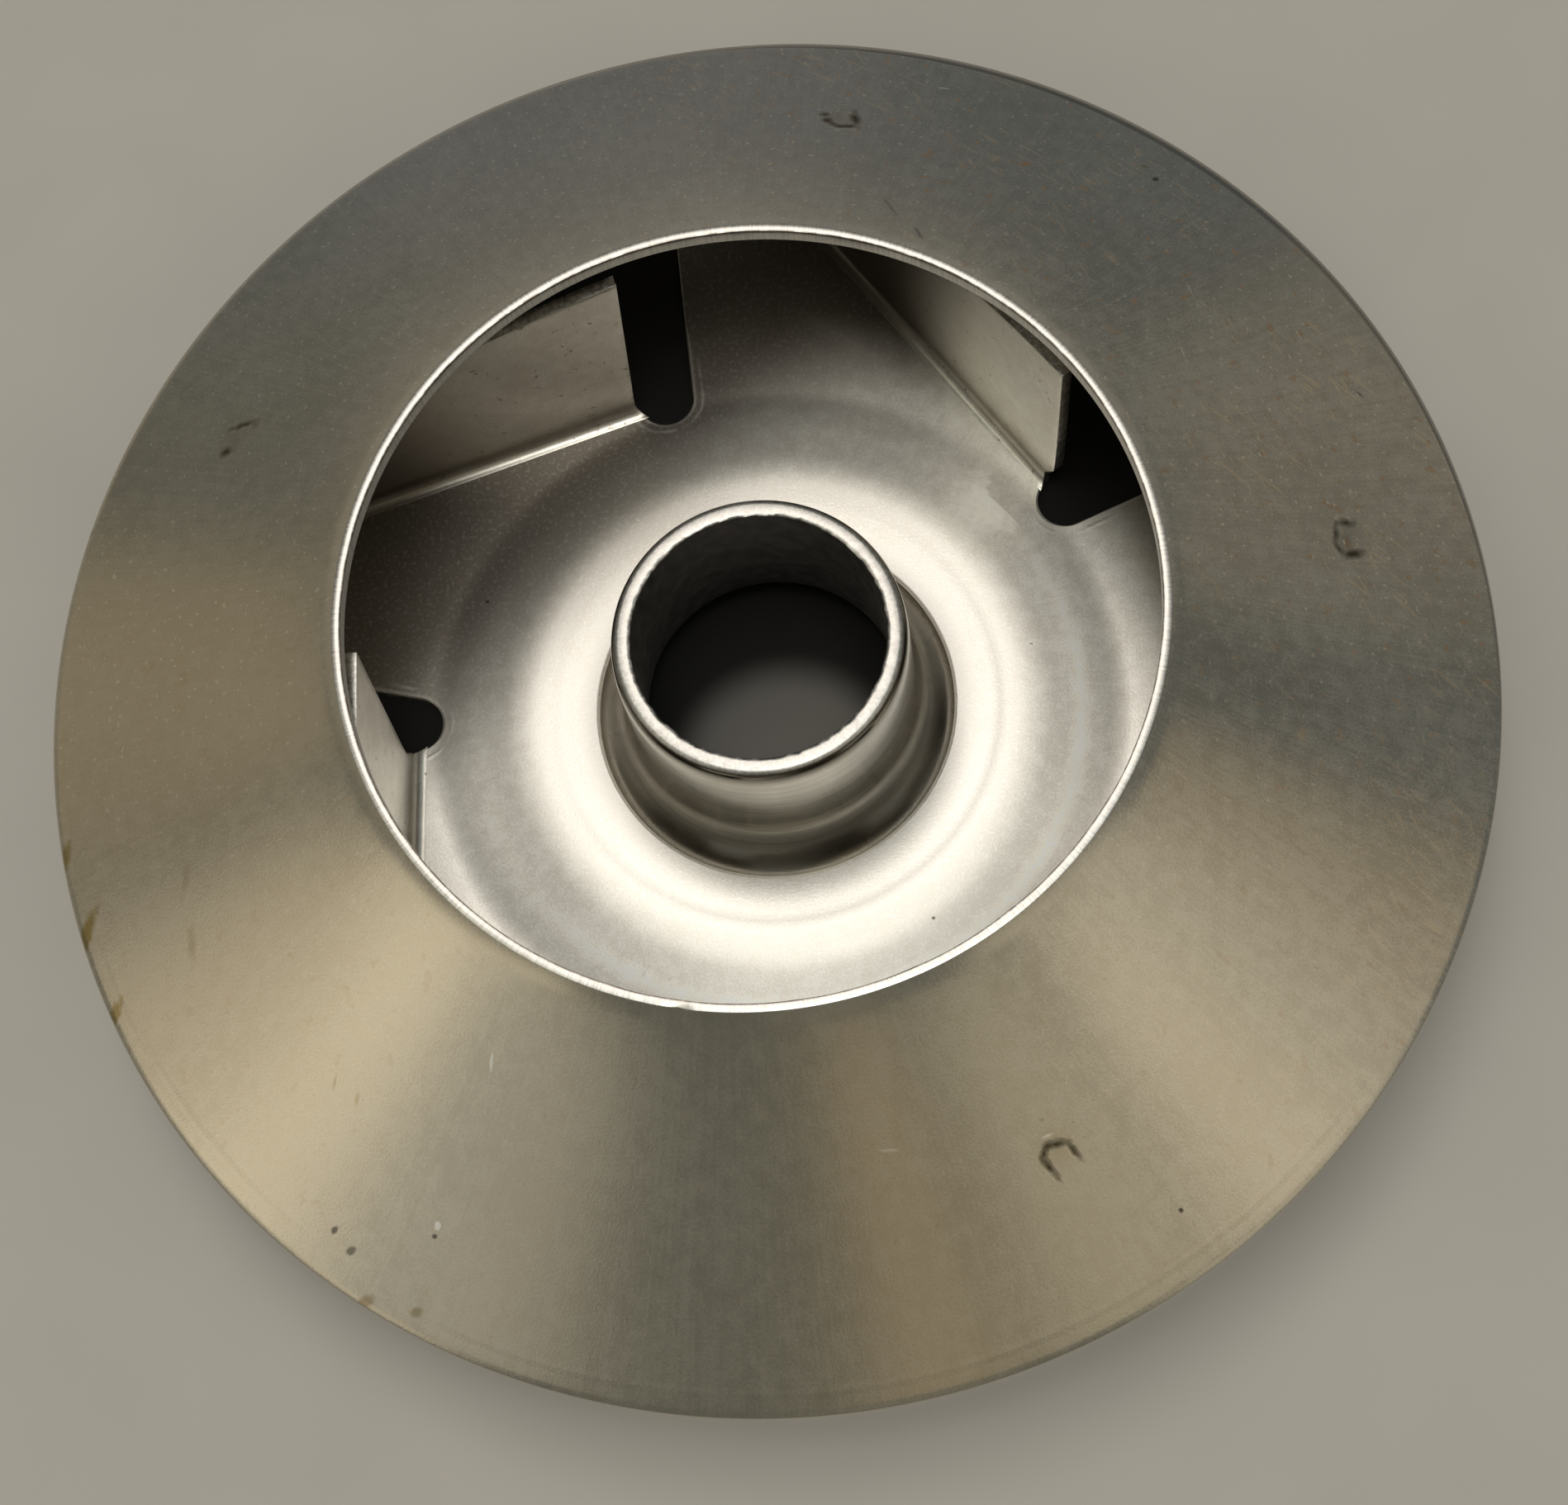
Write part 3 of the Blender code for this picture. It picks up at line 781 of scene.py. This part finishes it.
def plateSlotMaterial():
    # witness line that the die left round each slot's end, and a painted highlight along the slot's edge
    material, tree, place = startMaterial("slottedPlateSteel")
    x, y, _, onStep, colour, rough, height = plateBase(tree, place)
    localX, localY = foldFive(tree, x, y)
    lean = math.radians(plate["slotLean"])
    dx = minus(tree, localX, plate["slotX"])
    dy = minus(tree, localY, plate["slotY"])
    onward = calc(tree, "MAXIMUM", blend(tree, dx, dy, math.sin(lean), math.cos(lean)), 0.0)
    ax = minus(tree, dx, times(tree, onward, math.sin(lean)))
    ay = minus(tree, dy, times(tree, onward, math.cos(lean)))
    away = spread(tree, ax, ay)
    patchy = ramp(tree, cloud(tree, place, 340.0, 2.0, 0.6), 0.34, 0.62)
    patchy = times(tree, patchy, ramp(tree, onward, 5.0, 1.5))
    witness = times(tree, line(tree, away, 3.6, 0.28), patchy)
    # painted highlight just outside the slot's cut edge
    slotEdgeHighlight = line(tree, away, 2.85, 0.30)
    height = plus(tree, height, times(tree, witness, 2.0))
    colour = tint(tree, times(tree, witness, 0.40), colour, (0.86, 0.84, 0.78, 1))
    colour = tint(tree, times(tree, slotEdgeHighlight, 0.45), colour, (0.84, 0.81, 0.74, 1))
    matt = minus(tree, 1.0, times(tree, onStep, 0.22))
    tree.links.new(matt, tree.nodes["Principled BSDF"].inputs["Metallic"])
    return finishMaterial(material, colour, rough, height, 0.45, 0.00002)


def cutEdgeMaterial():
    # torn and burnished metal where a press cut through the sheet
    material, tree, place = startMaterial("shearedEdgeSteel")
    fine = put(tree, "Mapping", None, Vector=place, Scale=(2200, 2200, 1300)).outputs[0]
    tear = cloud(tree, fine, 1.0, 2.0, 0.7, False)
    colour = tint(tree, ramp(tree, tear, 0.35, 0.65), (0.42, 0.40, 0.365, 1), (0.74, 0.715, 0.66, 1))
    rough = plus(tree, 0.20, times(tree, tear, 0.3))
    return finishMaterial(material, colour, rough, tear, 0.4, 0.00002)


plateSpots = [
    (-28.3, 11.5, 0.18, 1.2, 0, 0.9, darkDirt, 0.5), (-12.0, -25.5, 0.25, 2.0, 60, 0.7, paleMetal, 0.5),
    (-9.5, -26.0, 0.2, 1.6, 20, 0.7, paleMetal, 0.5), (-6.4, -24.6, 0.16, 1.4, 80, 0.7, paleMetal, 0.5),
    (14.5, -20.8, 0.16, 1.2, 0, 0.8, darkDirt, 0.5), (24.0, 5.5, 0.15, 1.5, 0, 0.5, darkDirt, 0.5),
]


def dressPlate(piece):
    addFinishes(piece, plateSheetMaterial(), plateBossMaterial(plateSpots), plateSlotMaterial(), cutEdge)
    markFaces(piece, 1, lambda x, y, z: math.hypot(x, y) < plate["bossFinish"] and z > 1.0)
    for k in range(5):
        cx, cy = turned(plate["slotX"], plate["slotY"], firstTurn + fifth * k)
        markFaces(piece, 2, lambda x, y, z: z > 1.05 and math.hypot(x, y) > plate["slotFinish"]
                  and math.hypot(x - cx, y - cy) < plate["slotReach"])
    for face in piece.data.polygons:
        x, y, z = face.center / mm
        upright = abs(face.normal.z) < 0.4 and 0.0 < z < 1.05
        if upright and plate["cutInner"] < math.hypot(x, y) < plate["cutOuter"]:
            face.material_index = 3


cutEdge = cutEdgeMaterial()
plateSkin = makePlate()
dressPlate(plateSkin)
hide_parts("back_shroud")
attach(plateSkin, "root")
print("back plate made", len(plateSkin.data.polygons), "faces")


# hub sleeve

hub = {
    "boreTop": 11.13, "flange": 21.6, "steps": 256,
    # radius and height down the outside, from the top land to the flared foot
    "wall": [(12.22, 21.9), (12.46, 21.84), (12.68, 21.66), (12.86, 21.34), (12.97, 20.85),
             (13.03, 20.1), (13.07, 19.2), (13.1, 18.0), (13.13, 15.0), (13.18, 11.5), (13.26, 9.4),
             (13.4, 8.0), (13.62, 6.85), (13.95, 5.85), (14.4, 4.9), (14.95, 4.1), (15.6, 3.42),
             (16.3, 2.9), (17.0, 2.55), (17.8, 2.32), (18.6, 2.2)],
    # the torn burr runs up from burrFrom at the bore's edge
    "burrFrom": 21.1, "burrRise": 0.7, "burrReach": 11.7, "burrIn": 0.06,
}


def makeHub():
    flange = hub["flange"]
    bore = hub["boreTop"]
    foot = [(flange - 0.1, 2.2), (flange, 2.05), (flange, 1.1), (flange - 0.1, 1.0), (16.6, 1.0),
            (15.6, 1.05), (14.6, 1.28), (13.8, 1.65), (13.1, 2.2), (12.5, 2.95), (12.05, 3.7),
            (11.85, 4.5), (11.75, 5.6)]
    inside = [(11.5, 9.0), (11.3, 13.0), (bore, 17.0), (bore, 21.2), (bore + 0.02, 21.6), (bore + 0.09, 21.8),
              (bore + 0.22, 21.88), (bore + 0.4, 21.9)]
    piece = spinProfile("hubSkin", hub["wall"] + foot + inside, hub["steps"])
    for vertex in piece.data.vertices:
        x, y, z = vertex.co / mm
        r = math.hypot(x, y)
        if z > hub["burrFrom"] and r < hub["burrReach"]:
            # torn burr where the collar was trimmed
            share = min(1.0, (z - hub["burrFrom"]) / hub["burrRise"])
            torn = noise.noise(Vector((x * 1.3, y * 1.3, 5.0))) * 0.14
            torn += noise.noise(Vector((x * 4.0, y * 4.0, 9.0))) * 0.07
            shift = max(-hub["burrIn"], torn) * share
            vertex.co.x += x / r * shift * mm
            vertex.co.y += y / r * shift * mm
            vertex.co.z += min(0.0, noise.noise(Vector((x * 0.9, y * 0.9, 3.0)))) * 0.08 * share * mm
    smoothTo(piece, 40)
    return piece


def hubWallMaterial():
    material, tree, place = startMaterial("drawnHubSteel")
    level = polarOf(tree, place)["Height"]
    rings = useGroup(tree, shared["rings"], Vector=place, Pitch=2.2, Climb=1.0)["Tone"]
    cloudy = cloud(tree, place, 230.0, 2.0, 0.6, False)
    colour = tint(tree, ramp(tree, rings, 0.3, 0.7), (0.33, 0.310, 0.270, 1), (0.46, 0.435, 0.385, 1))
    rough = plus(tree, 0.12, times(tree, cloudy, 0.16))
    rough = plus(tree, rough, ramp(tree, level, 7.5, 3.0, 0.0, 0.08))
    # brownish wear band low on the wall
    band = times(tree, ramp(tree, level, 5.0, 8.5), ramp(tree, level, 13.5, 10.5))
    band = times(tree, times(tree, band, ramp(tree, cloudy, 0.45, 0.68)), 0.22)
    colour = tint(tree, band, colour, (0.50, 0.42, 0.28, 1))
    return finishMaterial(material, colour, rough, rings, 0.25, 0.00003)


def boreMaterial():
    material, tree, place = startMaterial("dullBoreSteel")
    tone = cloud(tree, place, 700.0, 2.0, 0.6, False)
    colour = tint(tree, ramp(tree, tone, 0.3, 0.7), (0.27, 0.255, 0.245, 1), (0.36, 0.34, 0.325, 1))
    rough = plus(tree, 0.34, times(tree, tone, 0.16))
    return finishMaterial(material, colour, rough, tone, 0.25, 0.00001)


def hubLandMaterial():
    material, tree, place = startMaterial("trimmedHubSteel")
    ticks = cloud(tree, place, 2600.0, 2.0, 0.7, False)
    colour = tint(tree, ramp(tree, ticks, 0.36, 0.64), (0.41, 0.395, 0.37, 1), (0.55, 0.53, 0.50, 1))
    rough = plus(tree, 0.28, times(tree, ticks, 0.2))
    return finishMaterial(material, colour, rough, ticks, 0.3, 0.00001)


hubSkin = makeHub()
addFinishes(hubSkin, hubWallMaterial(), boreMaterial(), hubLandMaterial())
markFaces(hubSkin, 1, lambda x, y, z: math.hypot(x, y) < 12.0 and z < 21.65)
markFaces(hubSkin, 2, lambda x, y, z: z > 21.6 and math.hypot(x, y) < 12.62)
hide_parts("hub_sleeve")
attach(hubSkin, "root")
print("hub sleeve made")


# vanes, folded up out of the plate

vane = {
    "face": 34.75, "bend": 1.2, "sheet": 1.1, "footEnd": -48.4, "wallEnd": -52.8, "columns": 72,
    "rows": [0.012, 0.1, 0.22, 0.36, 0.5, 0.64, 0.78, 0.9, 0.97, 1.0], "drawnHeight": 10.0,
    # where the leading edge starts: at the foot, above the bend and at the top
    "footStart": -1.75, "bendStart": -2.7, "topStart": -1.0,
    # top edge near the eye: cut straight and low, so it meets the cover only at the weld
    "edge": [(-1.0, 25.35), (-5.0, 24.9), (-8.0, 24.5), (-13.6, 23.35), (-36.0, 18.96), (-56.0, 15.04)],
    # hand-bent differences: lean of the top towards the axis, and shift of the leading edge near its foot
    "lean": [0.0, 0.55, 0.1, 0.0, 0.0], "shift": [0.0, -1.3, -0.4, 0.3, 1.5],
    "leanFrom": 2.3, "leanHeight": 22.5, "shiftRise": 9.0, "shiftReach": 16.0,
    "dark": (0.530, 0.500, 0.445, 1), "light": (0.670, 0.640, 0.585, 1),
}


def vaneTop(x):
    under = between(math.hypot(x, vane["face"] + vane["sheet"]), coverUnder) - 0.03
    return min(under, between(x, vane["edge"]))


def makeVane():
    bendY = vane["face"] - vane["bend"]
    bendZ = plate["top"] + vane["bend"]
    piece = startPoint("vaneSkin1", 0.0, bendY, plate["top"])
    drawOn(-1.0, 0, 0)
    selectMesh()
    bpy.ops.mesh.subdivide(number_cuts=vane["columns"] - 1)
    bpy.ops.mesh.spin(steps=9, angle=-math.pi / 2, center=(0, bendY * mm, bendZ * mm), axis=(1, 0, 0))
    lastShare = 0.0
    for share in vane["rows"]:
        drawOn(0, 0, (share - lastShare) * vane["drawnHeight"])
        lastShare = share
    goTo("OBJECT")
    for vertex in piece.data.vertices:
        x, y, z = vertex.co / mm
        along = -x
        if z <= bendZ + 0.001:
            round01 = max(0.0, min(1.0, (y - bendY) / vane["bend"]))
            start = vane["footStart"] + (vane["bendStart"] - vane["footStart"]) * round01
            vertex.co.x = (start + (vane["footEnd"] - start) * along) * mm
        else:
            share = (z - bendZ) / vane["drawnHeight"]
            start = vane["bendStart"] + (vane["topStart"] - vane["bendStart"]) * share
            newX = start + (vane["wallEnd"] - start) * along
            vertex.co.x = newX * mm
            vertex.co.z = (bendZ + (vaneTop(newX) - bendZ) * share) * mm
    faceOutwards(piece)
    wall = max(piece.data.polygons, key=lambda face: face.center.z)
    if wall.normal.y > 0:
        goTo("EDIT")
        selectMesh()
        bpy.ops.mesh.flip_normals()
        goTo("OBJECT")
    return piece


def vaneMaterial():
    material, tree, place = startMaterial("satinVaneSteel")
    grain = useGroup(tree, shared["uprightGrain"], Vector=place)
    polar = polarOf(tree, place)
    level = polar["Height"]
    colour = tint(tree, ramp(tree, grain["Tone"], 0.36, 0.66), vane["dark"], vane["light"])
    rough = plus(tree, 0.26, times(tree, grain["Tone"], 0.18))
    # rubbed lines just above the bend, where the die slid
    rubbedAndSheen = times(tree, ramp(tree, level, 1.4, 2.2), ramp(tree, level, 4.6, 3.0))
    lines = put(tree, "Mapping", None, Vector=place, Scale=(60, 60, 4200)).outputs[0]
    slide = cloud(tree, lines, 1.0, 1.0, 0.6, False)
    rubbedAndSheen = times(tree, times(tree, rubbedAndSheen, ramp(tree, slide, 0.4, 0.7)), 0.4)
    colour = tint(tree, rubbedAndSheen, colour, (0.86, 0.83, 0.75, 1))
    warmTint = ramp(tree, cloud(tree, place, 120.0, 2.0, 0.6, False), 0.50, 0.72, 0.0, 0.25)
    colour = tint(tree, warmTint, colour, (0.42, 0.37, 0.29, 1))
    pits = ramp(tree, cloud(tree, place, 950.0, 2.0, 0.75, False), 0.65, 0.72, 0.0, 0.75)
    colour = tint(tree, pits, colour, (0.20, 0.15, 0.10, 1))
    # painted shade: the vane darkens deeper under the cover
    paintedShadeUnderCover = ramp(tree, polar["Radius"], 35.5, 44.0, 0.0, 0.85)
    colour = tint(tree, paintedShadeUnderCover, colour, (0.165, 0.140, 0.110, 1))
    return finishMaterial(material, colour, rough, grain["Height"], 0.45, 0.000015)


firstVane = makeVane()
addFinishes(firstVane, vaneMaterial(), cutEdge)
applyModifier(firstVane, "SOLIDIFY", thickness=vane["sheet"] * mm, offset=-1.0, use_rim=True,
              material_offset_rim=1)
applyModifier(firstVane, "BEVEL", width=0.09 * mm, segments=2, limit_method="ANGLE",
              angle_limit=math.radians(55), harden_normals=False)
smoothTo(firstVane, 35)
vanes = [firstVane]
for k in range(1, 5):
    copy = firstVane.copy()
    copy.data = firstVane.data.copy()
    copy.name = copy.data.name = "vaneSkin%d" % (k + 1)
    bpy.context.scene.collection.objects.link(copy)
    vanes.append(copy)
for k, piece in enumerate(vanes):
    for vertex in piece.data.vertices:
        x, y, z = vertex.co / mm
        up = max(0.0, min(1.0, (z - vane["leanFrom"]) / vane["leanHeight"]))
        nearEdge = max(0.0, 1.0 - (vane["topStart"] - x) / vane["shiftReach"])
        lowEdge = min(1.0, up * vane["shiftRise"]) * (1.0 - up) * nearEdge
        vertex.co.y -= vane["lean"][k] * up * mm
        vertex.co.x += vane["shift"][k] * lowEdge * mm
    piece.data.transform(Matrix.Rotation(math.radians(firstTurn + fifth * k), 4, "Z"))
for k, piece in enumerate(vanes):
    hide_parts("vane_%d" % (k + 1))
    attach(piece, "root")
print("five vanes made", len(firstVane.data.polygons), "faces each")


# floor, light and camera

studio = {
    "floorSize": 4.0, "floorColour": (0.47, 0.445, 0.41),
    # tone of the painted shadow on the floor under the part and of the painted pool of light below the bore,
    # and the radii between which each sets in
    "underTone": 0.03, "paintedShadowRing": (61.0, 52.0), "boreLightPoolTone": 0.30, "boreLightPoolRing": (12.3, 7.4),
    "boreLightPoolShift": (-0.0008, 0.0056, 0),
    "world": (0.158, 0.166, 0.154),
    # fitted to the circles of rim, eye, hub and bore in the photo
    "camera": (0.018737, -0.071759, 0.214115), "turn": (18.0772, 3.2352, 0.0),
    "lens": 54.615, "shift": (-0.0414, -0.0138),
    # each light is name, azimuth, elevation, distance, width, height, watts, colour
    # watts and colours were first fitted to the fans of light on the cover, then set one by one
    "lights": [
        ("overBack", 105.0, 68.0, 1.3, 0.5, 0.5, 3.06, (1.0, 0.94, 0.87)),
        ("overTop", -75.0, 88.0, 1.3, 0.5, 0.5, 3.4, (1.0, 0.99, 0.94)),
        ("overFront", -58.0, 76.0, 1.3, 0.5, 0.32, 1.9, (1.0, 0.98, 0.92)),
        ("overLeft", -170.0, 62.0, 1.3, 0.45, 0.45, 0.82, (1.0, 0.99, 0.76)),
        ("overRight", 5.0, 62.0, 1.3, 0.45, 0.45, 0.316, (0.7, 0.96, 1.0)),
        ("right5", -5.0, 31.0, 1.3, 0.3, 0.45, 0.154, (1.0, 0.75, 0.43)),
        ("right19", -19.0, 35.0, 1.3, 0.28, 0.45, 0.238, (1.0, 0.88, 0.67)),
        ("right34", -34.0, 39.0, 1.3, 0.28, 0.42, 0.362, (1.0, 0.88, 0.69)),
        ("right55", -55.0, 40.0, 1.3, 0.32, 0.42, 0.215, (1.0, 0.88, 0.65)),
        ("front77", -77.0, 41.0, 1.3, 0.2, 0.42, 0.112, (1.0, 0.72, 0.38)),
        ("left124", -124.0, 37.0, 1.3, 0.26, 0.42, 0.15, (1.0, 0.92, 0.81)),
        ("left138", -138.0, 34.0, 1.3, 0.28, 0.42, 0.14, (0.99, 1.0, 0.97)),
        ("left152", -152.0, 31.0, 1.3, 0.28, 0.42, 0.4, (1.0, 0.9, 0.73)),
        ("left169", -169.0, 26.0, 1.3, 0.36, 0.42, 0.3, (1.0, 0.86, 0.66)),
        ("lowRight", -35.0, 18.0, 1.3, 0.8, 0.38, 0.56, (1.0, 0.89, 0.7)),
        ("lowFront", -80.0, 18.0, 1.3, 0.4, 0.38, 0.05, (1.0, 0.85, 0.65)),
        ("lowLeft", -145.0, 16.0, 1.3, 0.85, 0.36, 0.72, (1.0, 0.91, 0.74)),
        ("back165", 165.0, 14.0, 1.4, 0.6, 0.4, 0.201, (1.0, 0.76, 0.45)),
        ("back105", 105.0, 6.0, 1.4, 0.9, 0.4, 0.056, (1.0, 0.79, 0.79)),
        ("back38", 38.0, 18.0, 1.4, 0.9, 0.5, 0.22, (1.0, 0.78, 0.47)),
    ],
}


def makeFloor():
    deselectAll()
    bpy.ops.mesh.primitive_plane_add(size=studio["floorSize"], location=(0, 0, -0.00003))
    floor = bpy.context.active_object
    floor.name = "floor"
    bpy.ops.object.transform_apply(location=True, rotation=False, scale=False)
    material, tree, place = startMaterial("paleFloor", 0.0, 0.75)
    shader = tree.nodes["Principled BSDF"]
    shader.inputs["Specular IOR Level"].default_value = 0.1
    mottle = cloud(tree, place, 60.0, 1.0, 0.6)
    base = studio["floorColour"]
    pale = tint(tree, mottle, (*(c * 0.94 for c in base), 1), (*base, 1))
    # painted shadow: out of sight under the part the floor is toned down, so the windows read as dark as in
    # the photo
    under = ramp(tree, polarOf(tree, place)["Radius"], *studio["paintedShadowRing"])
    colour = tint(tree, under, pale, (*(c * studio["underTone"] for c in base), 1))
    # painted pool of light: what the bore shows is lighter than the slots, all but a crescent of painted
    # shadow at its far side
    shifted = shiftedBy(tree, place, studio["boreLightPoolShift"])
    litBorePatch = ramp(tree, polarOf(tree, shifted)["Radius"], *studio["boreLightPoolRing"])
    colour = tint(tree, litBorePatch, colour, (*(c * studio["boreLightPoolTone"] for c in base), 1))
    tree.links.new(colour, shader.inputs["Base Color"])
    addFinishes(floor, material)


def makeLights():
    for name, azimuth, elevation, distance, width, height, power, colour in studio["lights"]:
        a, e = math.radians(azimuth), math.radians(elevation)
        spot = Vector((math.cos(a) * math.cos(e), math.sin(a) * math.cos(e), math.sin(e))) * distance
        data = bpy.data.lights.new(name, "AREA")
        data.shape = "RECTANGLE"
        data.size, data.size_y = width, height
        data.energy = power
        data.color = colour
        lamp = bpy.data.objects.new(name, data)
        lamp.location = spot
        lamp.rotation_euler = (-spot).to_track_quat("-Z", "Y").to_euler()
        lamp.visible_camera = False
        bpy.context.scene.collection.objects.link(lamp)


def makeWorld():
    world = bpy.data.worlds.new("softRoom")
    bpy.context.scene.world = world
    world.use_nodes = True
    back = world.node_tree.nodes["Background"]
    back.inputs["Color"].default_value = (*studio["world"], 1.0)
    back.inputs["Strength"].default_value = 1.0


def makeCamera():
    data = bpy.data.cameras.new("photoCamera")
    data.lens = studio["lens"]
    data.sensor_width = 36.0
    data.shift_x, data.shift_y = studio["shift"]
    data.clip_start, data.clip_end = 0.005, 20.0
    camera = bpy.data.objects.new("photoCamera", data)
    camera.location = studio["camera"]
    camera.rotation_euler = [math.radians(v) for v in studio["turn"]]
    bpy.context.scene.collection.objects.link(camera)
    bpy.context.scene.camera = camera


makeFloor()
makeLights()
makeWorld()
makeCamera()
bpy.context.scene.view_settings.view_transform = "Standard"
print("floor, light and camera set")

deselectAll()
